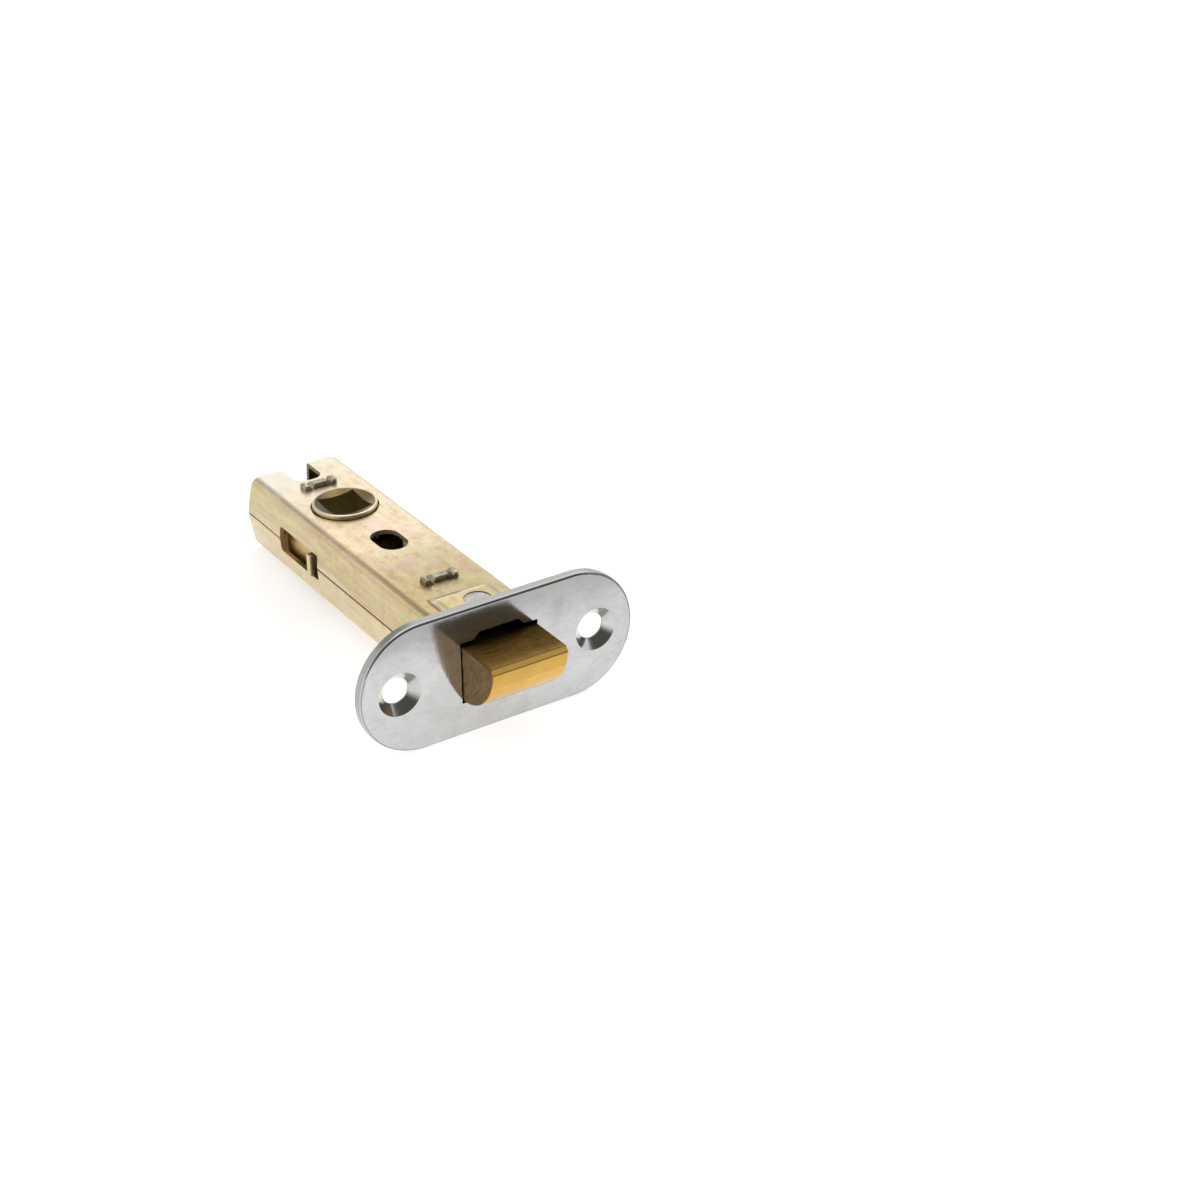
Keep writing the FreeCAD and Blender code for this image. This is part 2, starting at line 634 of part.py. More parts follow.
left_tail_rivet = new_body("left_tail_rivet")
sk = sketch_on(left_tail_rivet, "shank_circle", "XZ_Plane", D["rivet_inner"])
circle(sk, -D["rivet_x"], 0, D["rivet_rad"])
pad(left_tail_rivet, sk, "shank", D["flat_half"] + D["arm_thick"] - D["rivet_inner"])
sk = sketch_on(left_tail_rivet, "head_circle", "XZ_Plane", D["flat_half"] + D["arm_thick"])
circle(sk, -D["rivet_x"], 0, D["rivet_head_rad"])
pad(left_tail_rivet, sk, "head", D["rivet_head"])
fillet(left_tail_rivet, "head_crown",
       lambda e: near(mid(e).y, -(D["flat_half"] + D["arm_thick"] + D["rivet_head"]).num)
       and spread(e)[1] < 1e-6,
       D["rivet_head"] * 0.8)
right_tail_rivet = mirror_of(left_tail_rivet, "right_tail_rivet", V(0, 1, 0))


# --------------------------------------------------------------------------
# Spring and its guide pin
# --------------------------------------------------------------------------
spring_guide_pin = new_body("spring_guide_pin")
sp_front = -(D["front_spacer_x"] - D["spacer_thick"] / 2)
sk = sketch_on(spring_guide_pin, "pin_circle", "YZ_Plane", sp_front)
circle(sk, 0, 0, D["pin_rad"])
pad(spring_guide_pin, sk, "pin", -sp_front - D["pin_end"])
chamfer(spring_guide_pin, "pin_end_bevel",
        lambda e: near(mid(e).x, -D["pin_end"].num) and spread(e)[0] < 1e-6, D["pin_soft"])

x_axis = FreeCAD.Rotation(V(0, 0, 1), V(1, 0, 0))
coil_start = sp_front + D["spring_wire"] + 0.02
coil_length = D["pocket_end"] - sp_front - D["spring_wire"] * 2 - 0.04
coil = doc.addObject("Part::Helix", "spring_line")
coil.Radius = D["spring_rad"].num
coil.setExpression("Radius", D["spring_rad"].text)
coil.Pitch = (coil_length / D["spring_turns"]).num
coil.setExpression("Pitch", (coil_length / D["spring_turns"]).text)
coil.Height = coil_length.num
coil.setExpression("Height", coil_length.text)
coil.Placement = FreeCAD.Placement(V(coil_start.num, 0, 0), x_axis)
coil.setExpression("Placement.Base.x", coil_start.text)
doc.recompute()
begin = coil.Shape.Edges[0].valueAt(coil.Shape.Edges[0].FirstParameter)
heading = coil.Shape.Edges[0].tangentAt(coil.Shape.Edges[0].FirstParameter)
wire = doc.addObject("Part::Circle", "spring_section")
wire.Radius = D["spring_wire"].num
wire.setExpression("Radius", D["spring_wire"].text)
wire.Placement = FreeCAD.Placement(begin, FreeCAD.Rotation(V(0, 0, 1), heading))
bolt_spring = doc.addObject("Part::Sweep", "bolt_spring")
bolt_spring.Label = "bolt_spring"
bolt_spring.Sections = [wire]
bolt_spring.Spine = (coil, [])
bolt_spring.Solid = True
bolt_spring.Frenet = True
doc.recompute()


# --------------------------------------------------------------------------
# Follower, drawn about its own axis and placed at the backset
# --------------------------------------------------------------------------
follower = new_body("follower")
sk = sketch_on(follower, "hub_profile", "XZ_Plane")
r1, r2, r3 = D["hub_shoulder_rad"], D["hub_journal_rad"], D["hub_collar_rad"]
z1, z2, z3 = D["hub_shoulder_z"], D["hub_collar_step"], D["hub_top"]
fall = D["dish_fall"]
core = Q(1.5, "1.5")
outline(sk, [(core, -z3 + fall), (D["square_half"], -z3 + fall), (D["dish_rad"], -z3), (r3, -z3), (r3, -z2), (r2, -z2),
             (r2, -z1), (r1, -z1), (r1, z1), (r2, z1), (r2, z2), (r3, z2), (r3, z3),
             (D["dish_rad"], z3), (D["square_half"], z3 - fall), (core, z3 - fall)])
rev = follower.newObject("PartDesign::Revolution", "hub")
rev.Profile = sk
rev.ReferenceAxis = (sk, ["V_Axis"])
rev.Angle = 360
doc.recompute()
fillet(follower, "collar_rim",
       lambda e: near(abs(mid(e).z), z3.num) and isinstance(e.Curve, Part.Circle)
       and near(e.Curve.Radius, r3.num), D["hub_round"])
sk = sketch_on(follower, "horn_outline", "XY_Plane")
tx, ty, tr = D["horn_tip_x"], D["horn_tip_y"], D["horn_tip_rad"]
outline(sk, [(tx - tr, -ty), (tx + tr, -ty), (tx + tr, ty), (tx - tr, ty)],
        {0: (1, tr, "Y", -ty), 2: (1, tr, "Y", ty)})
pad(follower, sk, "horns", D["horn_half_z"] * 2, symmetric=True)
sk = sketch_on(follower, "square_outline", "XY_Plane")
sq = D["square_half"]
box_outline(sk, -sq, sq, -sq, sq)
pocket(follower, sk, "spindle_square")
follower.Placement = FreeCAD.Placement(V(-D["backset"].num, 0, 0), FreeCAD.Rotation())
follower.setExpression("Placement.Base.x", (-D["backset"]).text)
doc.recompute()


# --------------------------------------------------------------------------
# Check and write
# --------------------------------------------------------------------------
PIECES = [forend, upper_case, lower_case, front_spacer, rear_spacer, upper_bolt_guide,
          lower_bolt_guide, spring_guide_pin, bolt_spring, latch_bolt, left_tail_arm,
          right_tail_arm, left_tail_rivet, right_tail_rivet, follower]

doc.recompute()
bad = [o.Name for o in doc.Objects if "Invalid" in o.State or "Error" in o.State]
if bad:
    raise RuntimeError("failed objects: " + ", ".join(bad))
for piece in PIECES:
    if piece.Shape.isNull() or not piece.Shape.isValid():
        raise RuntimeError("bad shape: " + piece.Label)
    if len(piece.Shape.Solids) != 1:
        raise RuntimeError("%s has %d solids" % (piece.Label, len(piece.Shape.Solids)))

os.makedirs("parts", exist_ok=True)
for piece in PIECES:
    piece.Shape.exportStep(os.path.join("parts", piece.Label + ".step"))
    b = piece.Shape.BoundBox
    print("%-18s volume %8.1f  x %7.2f..%7.2f  y %6.2f..%6.2f  z %6.2f..%6.2f" % (
        piece.Label, piece.Shape.Volume, b.XMin, b.XMax, b.YMin, b.YMax, b.ZMin, b.ZMax))
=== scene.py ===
import math

import bpy
from mathutils import Matrix, Vector


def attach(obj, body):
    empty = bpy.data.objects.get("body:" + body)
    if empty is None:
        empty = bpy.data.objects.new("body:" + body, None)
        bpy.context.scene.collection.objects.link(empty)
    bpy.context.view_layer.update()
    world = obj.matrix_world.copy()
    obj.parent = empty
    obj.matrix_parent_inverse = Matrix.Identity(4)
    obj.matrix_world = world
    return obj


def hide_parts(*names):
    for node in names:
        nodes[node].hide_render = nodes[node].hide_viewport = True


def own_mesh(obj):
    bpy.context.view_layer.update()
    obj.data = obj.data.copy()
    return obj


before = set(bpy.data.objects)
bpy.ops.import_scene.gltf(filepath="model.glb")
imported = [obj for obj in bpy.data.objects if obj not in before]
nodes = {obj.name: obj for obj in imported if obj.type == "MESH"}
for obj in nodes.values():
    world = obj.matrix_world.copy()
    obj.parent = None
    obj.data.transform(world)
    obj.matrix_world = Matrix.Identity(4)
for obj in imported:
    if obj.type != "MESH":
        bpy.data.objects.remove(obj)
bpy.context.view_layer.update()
scene = bpy.context.scene
MM = 0.001


# --------------------------------------------------------------------------
# Finishes. Patterns are laid out in millimetres of the object's own frame.
# --------------------------------------------------------------------------
class Finish:
    """A principled shader and the pattern nodes that feed it."""

    def __init__(self, name, **uniform):
        self.mat = bpy.data.materials.new(name)
        self.mat.use_nodes = True
        self.tree = self.mat.node_tree
        self.tree.nodes.clear()
        out = self.add("ShaderNodeOutputMaterial")
        self.bsdf = self.add("ShaderNodeBsdfPrincipled")
        self.tree.links.new(self.bsdf.outputs[0], out.inputs[0])
        for socket, value in uniform.items():
            self.bsdf.inputs[socket.replace("_", " ")].default_value = value
        coord = self.add("ShaderNodeTexCoord")
        scale = self.add("ShaderNodeVectorMath", operation="SCALE")
        self.tree.links.new(coord.outputs["Object"], scale.inputs[0])
        scale.inputs["Scale"].default_value = 1000.0
        self.mm = scale.outputs[0]
        split = self.add("ShaderNodeSeparateXYZ")
        self.tree.links.new(self.mm, split.inputs[0])
        self.x, self.y, self.z = split.outputs[:3]
        facing = self.add("ShaderNodeSeparateXYZ")
        self.tree.links.new(coord.outputs["Normal"], facing.inputs[0])
        self.nx, self.ny, self.nz = facing.outputs[:3]

    def add(self, kind, **props):
        n = self.tree.nodes.new(kind)
        for key, value in props.items():
            setattr(n, key, value)
        return n

    def feed(self, socket, value):
        if isinstance(value, bpy.types.NodeSocket):
            self.tree.links.new(value, socket)
        elif isinstance(value, (tuple, list)) and len(value) == 3 and socket.type == "RGBA":
            socket.default_value = (*value, 1.0)
        else:
            socket.default_value = value

    def put(self, socket, value):
        self.feed(self.bsdf.inputs[socket], value)

    def math(self, op, a, b=None, c=None, clamp=False):
        n = self.add("ShaderNodeMath", operation=op, use_clamp=clamp)
        for socket, value in zip(n.inputs, (a, b, c)):
            if value is not None:
                self.feed(socket, value)
        return n.outputs[0]

    def mul(self, a, b):
        return self.math("MULTIPLY", a, b)

    def plus(self, a, b):
        return self.math("ADD", a, b)

    def minus(self, a, b):
        return self.math("SUBTRACT", a, b)

    def size(self, a):
        return self.math("ABSOLUTE", a)

    def step(self, value, low, high, to=(0.0, 1.0)):
        """Runs smoothly from to[0] to to[1] as value goes from low to high."""
        n = self.add("ShaderNodeMapRange", interpolation_type="SMOOTHSTEP", clamp=True)
        self.feed(n.inputs[0], value)
        for i, v in zip((1, 2, 3, 4), (low, high, *to)):
            n.inputs[i].default_value = v
        return n.outputs[0]

    def near(self, value, middle, half):
        """1 at middle, 0 at half away from it."""
        return self.step(self.size(self.minus(value, middle)), 0.0, half, (1.0, 0.0))

    def radius(self, cx, cy, a=None, b=None):
        """Distance from a point, across two axes."""
        a, b = a or self.x, b or self.y
        dx, dy = self.minus(a, cx), self.minus(b, cy)
        return self.math("SQRT", self.plus(self.mul(dx, dx), self.mul(dy, dy)))

    def spread(self, stretch=(1, 1, 1), turn=(0, 0, 0), seed=0.0):
        turned = self.mm
        if any(turn):
            r = self.add("ShaderNodeMapping")
            self.tree.links.new(self.mm, r.inputs["Vector"])
            r.inputs["Rotation"].default_value = [math.radians(a) for a in turn]
            turned = r.outputs[0]
        n = self.add("ShaderNodeMapping")
        self.tree.links.new(turned, n.inputs["Vector"])
        n.inputs["Location"].default_value = (seed * 13.7, seed * 7.3, seed * 3.1)
        n.inputs["Scale"].default_value = stretch
        return n.outputs[0]

    def noise(self, scale, stretch=(1, 1, 1), turn=(0, 0, 0), seed=0.0, detail=3.0, rough=0.55, warp=0.0):
        n = self.add("ShaderNodeTexNoise", noise_dimensions="3D")
        self.tree.links.new(self.spread(stretch, turn, seed), n.inputs["Vector"])
        n.inputs["Scale"].default_value = scale
        n.inputs["Detail"].default_value = detail
        n.inputs["Roughness"].default_value = rough
        n.inputs["Distortion"].default_value = warp
        return n.outputs[0]

    def cells(self, scale, stretch=(1, 1, 1), turn=(0, 0, 0), seed=0.0, feature="F1"):
        n = self.add("ShaderNodeTexVoronoi", feature=feature)
        self.tree.links.new(self.spread(stretch, turn, seed), n.inputs["Vector"])
        n.inputs["Scale"].default_value = scale
        return n.outputs["Distance"]

    def ramp(self, value, stops, smooth=True):
        n = self.add("ShaderNodeValToRGB")
        n.color_ramp.interpolation = "EASE" if smooth else "LINEAR"
        e = n.color_ramp.elements
        while len(e) < len(stops):
            e.new(0.5)
        for el, (pos, colour) in zip(e, stops):
            el.position = pos
            el.color = (*colour, 1.0)
        self.feed(n.inputs[0], value)
        return n.outputs[0]

    def mix(self, share, a, b, blend="MIX"):
        n = self.add("ShaderNodeMix", data_type="RGBA", blend_type=blend)
        self.feed(n.inputs[0], share)
        self.feed(n.inputs[6], a)
        self.feed(n.inputs[7], b)
        return n.outputs[2]

    def shade(self, colour, amount):
        """Multiplies a colour by a number."""
        n = self.add("ShaderNodeVectorMath", operation="SCALE")
        self.feed(n.inputs[0], colour)
        self.feed(n.inputs["Scale"], amount)
        return n.outputs[0]

    def relief(self, height, depth, strength=1.0, onto=None):
        """Bump of a pattern whose full swing is depth millimetres."""
        n = self.add("ShaderNodeBump")
        n.inputs["Strength"].default_value = strength
        n.inputs["Distance"].default_value = depth * MM
        self.feed(n.inputs["Height"], height)
        if onto is not None:
            self.feed(n.inputs["Normal"], onto)
        return n.outputs[0]


def scratches(f, count, seed, density=0.62, scale=1.0):
    """Fine hairline marks lying in several directions, 0 to 1."""
    total = None
    for i in range(count):
        angle = 180.0 * i / count + 23.0 * seed
        line = f.noise(2.2 * scale, stretch=(0.06, 1.6, 1.6), turn=(angle, angle * 0.7, angle),
                       seed=seed + 1.7 * i, detail=2.0, rough=0.4)
        line = f.step(line, density, density + 0.07)
        total = line if total is None else f.math("MAXIMUM", total, line)
    return total


def passivated(name, case=False, tone=1.0, warm=False):
    """Yellow passivated zinc on drawn sheet: a thin film, mottled tan, straw and rose."""
    f = Finish(name, Metallic=1.0)
    broad = f.noise(0.055, seed=2.0, detail=2.5, rough=0.55, warp=0.7)
    mottle = f.noise(0.55, stretch=(0.75, 1, 1), seed=5.0, detail=4.0, rough=0.58, warp=0.25)
    grain = f.noise(2.8, seed=1.0, detail=3.0, rough=0.6)
    drawn = f.noise(0.85, stretch=(0.06, 1, 1), seed=9.0, detail=4.0, rough=0.6)
    colour = f.ramp(broad, [(0.30, (0.78, 0.63, 0.41)), (0.45, (0.82, 0.68, 0.46)),
                            (0.58, (0.83, 0.71, 0.50)), (0.72, (0.79, 0.69, 0.44))])
    speck = f.step(f.size(f.nz), 0.55, 0.85, (0.45, 1.0))
    colour = f.mix(f.mul(f.mul(f.step(mottle, 0.46, 0.74), 0.55), speck), colour, (0.60, 0.43, 0.25))
    colour = f.mix(f.mul(f.step(mottle, 0.47, 0.28), 0.50), colour, (0.90, 0.80, 0.62))
    stain = f.noise(1.4, seed=41.0, detail=3.0, rough=0.6)
    colour = f.mix(f.mul(f.mul(f.step(stain, 0.50, 0.78), 0.24), speck), colour, (0.55, 0.40, 0.22))
    rose = f.noise(0.17, stretch=(0.6, 1, 1), seed=21.0, detail=3.5, rough=0.6, warp=0.6)
    colour = f.mix(f.mul(f.step(rose, 0.53, 0.68), 0.70), colour, (0.84, 0.63, 0.58))
    green = f.noise(0.17, stretch=(0.45, 1, 1), seed=33.0, detail=3.5, rough=0.6, warp=0.6)
    colour = f.mix(f.mul(f.step(green, 0.54, 0.70), 0.52), colour, (0.66, 0.68, 0.36))
    colour = f.shade(colour, f.step(drawn, 0.28, 0.72, (0.92 * tone, 1.05 * tone)))
    colour = f.shade(colour, f.step(grain, 0.28, 0.66, (0.90, 1.03)))
    rough = f.plus(f.step(mottle, 0.3, 0.7, (0.30, 0.41)), f.step(drawn, 0.3, 0.7, (-0.03, 0.04)))
    if warm:
        # painted shade: the plate inside the case darker and yellower, the lug that stands out of the case pale
        out = f.step(f.size(f.y), 8.75, 9.4)
        colour = f.mix(f.step(out, 0.0, 1.0, (1.0, 0.30)), colour, (0.88, 0.74, 0.44), "MULTIPLY")
        # painted dark reflection on the lug's front face
        colour = f.mix(f.mul(f.mul(out, f.step(f.nx, 0.3, 0.7)), 0.75), colour, (0.20, 0.14, 0.055))
    if case:
        flat = f.step(f.size(f.nz), 0.70, 0.95)
        wall = f.step(f.size(f.nz), 0.55, 0.85, (1.0, 0.0))
        # the walls are yellower, and painted darker as shade above the seam than below it; the top is darker and
        # browner towards the forend
        colour = f.mix(f.mul(wall, f.step(f.z, -1.5, 1.5)), colour, (0.755, 0.735, 0.61), "MULTIPLY")
        colour = f.mix(f.mul(wall, f.step(f.z, 1.5, -1.5)), colour, (0.90, 0.89, 0.80), "MULTIPLY")
        colour = f.mix(f.mul(f.step(f.x, -44.0, -22.0), flat), colour, (0.665, 0.63, 0.53), "MULTIPLY")
        # painted highlight: the raised panel is lightened
        colour = f.shade(colour, f.step(f.size(f.z), 7.58, 7.85, (1.0, 1.18)))
        # green and rose streaks along the walls, where the sheet was drawn
        streak = f.noise(0.55, stretch=(0.07, 1, 1), seed=51.0, detail=3.0, rough=0.6)
        colour = f.mix(f.mul(f.mul(f.step(streak, 0.52, 0.68), wall), 0.42), colour, (0.62, 0.62, 0.34))
        colour = f.mix(f.mul(f.mul(f.step(streak, 0.47, 0.34), wall), 0.38), colour, (0.78, 0.62, 0.52))
        yellow = f.mul(f.mul(f.step(f.x, -40.0, -12.0), f.step(f.y, -3.0, -7.5)), f.step(f.size(f.nz), 0.2, 0.5))
        colour = f.mix(f.mul(yellow, 0.8), colour, (1.0, 1.0, 0.80), "MULTIPLY")
        # painted highlight: the rear of the top is paler, more so on the left
        pale = f.mul(f.mul(f.step(f.x, -56.0, -76.0), flat), f.step(f.y, 6.0, -6.0, (0.35, 0.75)))
        colour = f.mix(pale, colour, (0.80, 0.77, 0.69))
        # painted shade along the outside of the bends: a dark line broken into patches
        bend = f.mul(f.step(f.size(f.nz), 0.66, 0.80), f.step(f.size(f.nz), 0.91, 0.985, (1.0, 0.0)))
        patchy = f.step(f.noise(0.20, stretch=(0.6, 1, 1), seed=14.0, detail=4.0), 0.34, 0.60, (0.12, 0.55))
        colour = f.mix(f.mul(bend, patchy), colour, (0.42, 0.38, 0.26))
        # painted shade inside the case: dull and dark, orange-brown towards the rear, and dark lips along the seam
        inward = f.step(f.plus(f.mul(f.y, f.ny), f.mul(f.z, f.nz)), 0.3, -0.3)
        brown = f.mul(f.step(f.x, -58.0, -61.0), f.step(f.x, -71.5, -70.0))
        brown = f.math("MAXIMUM", brown, f.mul(f.step(f.x, -70.0, -71.5), f.step(f.z, -2.5, -4.0)))
        inner = f.mix(brown, (0.085, 0.066, 0.028), (0.46, 0.245, 0.062))
        colour = f.mix(f.mul(inward, 0.95), colour, inner)
        rough = f.plus(rough, f.mul(inward, 0.30))
        f.put("Metallic", f.step(inward, 0.0, 1.0, (1.0, 0.15)))
        lip = f.mul(f.near(f.z, 0.0, 0.34), f.step(f.x, -64.0, -46.0, (0.55, 0.9)))
        colour = f.mix(f.mul(lip, wall), colour, (0.10, 0.08, 0.04))
        # sheared edges round the holes, the notch and the windows
        hole = f.step(f.radius(-57.0, 0.0), 6.75, 6.80, (1.0, 0.0))
        slot = f.mul(f.step(f.size(f.plus(f.x, 39.55)), 4.40, 4.45, (1.0, 0.0)), f.step(f.size(f.y), 2.94, 2.98, (1.0, 0.0)))
        notch = f.mul(f.step(f.x, -70.95, -71.0), f.step(f.size(f.y), 2.92, 2.97, (1.0, 0.0)))
        window = f.mul(f.mul(f.step(f.size(f.plus(f.x, 57.25)), 7.77, 7.82, (1.0, 0.0)),
                             f.step(f.size(f.z), 2.70, 2.75, (1.0, 0.0))), f.step(f.size(f.ny), 0.35, 0.6, (1.0, 0.0)))
        upright = f.step(f.size(f.nz), 0.35, 0.65, (1.0, 0.0))
        sheared = f.mul(f.math("MAXIMUM", f.math("MAXIMUM", hole, slot), f.math("MAXIMUM", notch, window)), upright)
        colour = f.mix(f.mul(sheared, 0.76), colour, (0.34, 0.275, 0.125))
        # rubbed, greyer marks low on the walls and at the rear corner
        wave = f.mul(f.minus(f.noise(0.05, seed=4.0, detail=2.0), 0.5), 3.0)
        line = f.near(f.plus(f.z, wave), -3.3, 1.1)
        broken = f.step(f.noise(0.30, stretch=(0.35, 0.3, 2.2), seed=8.0, detail=5.0, rough=0.65), 0.50, 0.60)
        rub = f.mul(f.mul(line, broken), f.step(f.x, -38.0, -56.0, (0.45, 1.0)))
        nick = f.mul(f.mul(f.near(f.z, 2.1, 0.75), f.near(f.x, -78.3, 1.5)),
                     f.step(f.noise(0.9, stretch=(0.5, 1, 1.6), seed=18.0, detail=4.0), 0.44, 0.56))
        rub = f.mul(f.math("MAXIMUM", rub, nick), wall)
        colour = f.mix(f.mul(rub, 0.85), colour, (0.56, 0.59, 0.61))
        rough = f.plus(rough, f.mul(rub, -0.08))
        # the upper edge of the raised panel is pale, partly where the film is rubbed off and partly as a painted
        # highlight
        crest = f.mul(f.mul(f.near(f.x, -13.45, 0.55), f.step(f.size(f.y), 5.6, 4.6)), f.step(f.size(f.z), 7.85, 8.0))
        corner = f.mul(f.step(f.radius(-13.6, -5.1), 1.3, 0.3), f.step(f.size(f.z), 7.52, 7.7))
        # painted highlight on the panel's left slope
        lit = f.mul(f.mul(f.step(f.x, -14.2, -13.2), f.near(f.y, -5.5, 0.85)), f.step(f.size(f.z), 7.52, 7.7))
        colour = f.mix(f.mul(lit, 0.75), colour, (0.95, 0.84, 0.56))
        # painted shadow along the foot of the panel's sides
        foot = f.mul(f.mul(f.near(f.size(f.y), 6.32, 0.22), f.step(f.x, -14.0, -12.5)), flat)
        colour = f.mix(f.mul(foot, 0.7), colour, (0.26, 0.19, 0.08))
        crest = f.mul(f.math("MAXIMUM", crest, corner), f.step(f.noise(0.7, seed=27.0, detail=3.0), 0.30, 0.55, (0.45, 1.0)))
        colour = f.mix(f.mul(crest, 0.85), colour, (0.95, 0.90, 0.77))
        # bare spot weld
        spot = f.radius(-9.7, 1.5)
        edge = f.plus(spot, f.mul(f.minus(f.noise(0.9, seed=3.0), 0.5), 0.30))
        bare = f.mul(f.step(edge, 2.50, 2.68, (1.0, 0.0)), f.step(f.size(f.nz), 0.6, 0.9))
        rim = f.mul(f.near(edge, 2.60, 0.26), f.step(f.size(f.nz), 0.6, 0.9))
        grey = f.ramp(f.noise(0.8, seed=6.0, detail=4.0), [(0.3, (0.36, 0.36, 0.345)), (0.7, (0.49, 0.49, 0.465))])
        colour = f.mix(bare, colour, grey)
        colour = f.mix(f.mul(rim, 0.50), colour, (0.26, 0.24, 0.20))
    f.put("Base Color", colour)
    f.put("Roughness", rough)
    fine = f.relief(grain, 0.012, 0.5)
    pull = f.relief(drawn, 0.012, 0.4, fine)
    f.put("Normal", f.relief(mottle, 0.03, 0.22, pull))
    return f.mat


def nickel():
    """Bright plated strip, with handling marks."""
    f = Finish("plated_forend", Metallic=0.92)
    haze = f.noise(0.11, seed=3.0, detail=4.0, rough=0.6, warp=0.6)
    fine = f.noise(1.6, stretch=(1, 0.35, 1), seed=7.0, detail=4.0)
    hair = scratches(f, 4, 2.0)
    colour = f.ramp(haze, [(0.30, (0.57, 0.585, 0.585)), (0.52, (0.63, 0.64, 0.635)), (0.72, (0.58, 0.59, 0.585))])
    colour = f.shade(colour, f.step(fine, 0.3, 0.7, (0.94, 1.03)))
    colour = f.mix(f.mul(hair, 0.07), colour, (0.78, 0.79, 0.79))
    # painted shade: darker, and greyer, towards the upper edge
    colour = f.shade(colour, f.step(f.plus(f.z, f.mul(f.minus(haze, 0.5), 8.0)), 4.0, 12.5, (0.92, 0.66)))
    # sheared rim, duller than the face
    rim = f.step(f.size(f.nx), 0.30, 0.60, (1.0, 0.0))
    colour = f.mix(f.mul(rim, 0.85), colour, (0.37, 0.365, 0.345))
    # painted shade where the face rolls over into the rim
    roll = f.mul(f.step(f.nx, 0.74, 0.80), f.step(f.nx, 0.92, 0.985, (1.0, 0.0)))
    colour = f.shade(colour, f.step(roll, 0.0, 1.0, (1.0, 0.60)))
    # painted dark reflection along the rounded edge at the right end, broken by noise
    out_y = f.minus(f.y, 15.8)
    reach = f.math("SQRT", f.plus(f.mul(out_y, out_y), f.mul(f.z, f.z)))
    end = f.mul(f.mul(f.step(f.nx, 0.35, 0.55), f.step(f.nx, 0.95, 0.99, (1.0, 0.0))), f.step(f.y, 19.0, 23.0))
    end = f.mul(end, f.step(reach, 11.5, 11.8))
    colour = f.mix(f.mul(end, f.step(fine, 0.30, 0.60, (0.55, 0.92))), colour, (0.13, 0.125, 0.115))
    # painted dark reflection low in the countersinks
    cone = f.mul(f.step(f.nx, 0.60, 0.68), f.step(f.nx, 0.73, 0.80, (1.0, 0.0)))
    cone = f.mul(cone, f.mul(f.step(f.size(f.z), 6.5, 7.0, (1.0, 0.0)), f.step(f.size(f.y), 25.5, 26.0, (1.0, 0.0))))
    painted_countersink_shade = f.mul(cone, f.mul(f.step(f.nz, 0.10, 0.42), f.step(f.ny, 0.30, -0.15)))
    colour = f.mix(f.mul(painted_countersink_shade, 0.72), colour, (0.24, 0.21, 0.165))
    f.put("Base Color", colour)
    rough = f.plus(f.step(haze, 0.3, 0.7, (0.10, 0.16)), f.plus(f.mul(hair, 0.06), f.mul(rim, 0.12)))
    f.put("Roughness", rough)
    dull = f.relief(f.noise(0.5, seed=11.0, detail=5.0, rough=0.6), 0.025, 0.25)
    f.put("Normal", f.relief(hair, 0.002, 0.12, dull))
    return f.mat


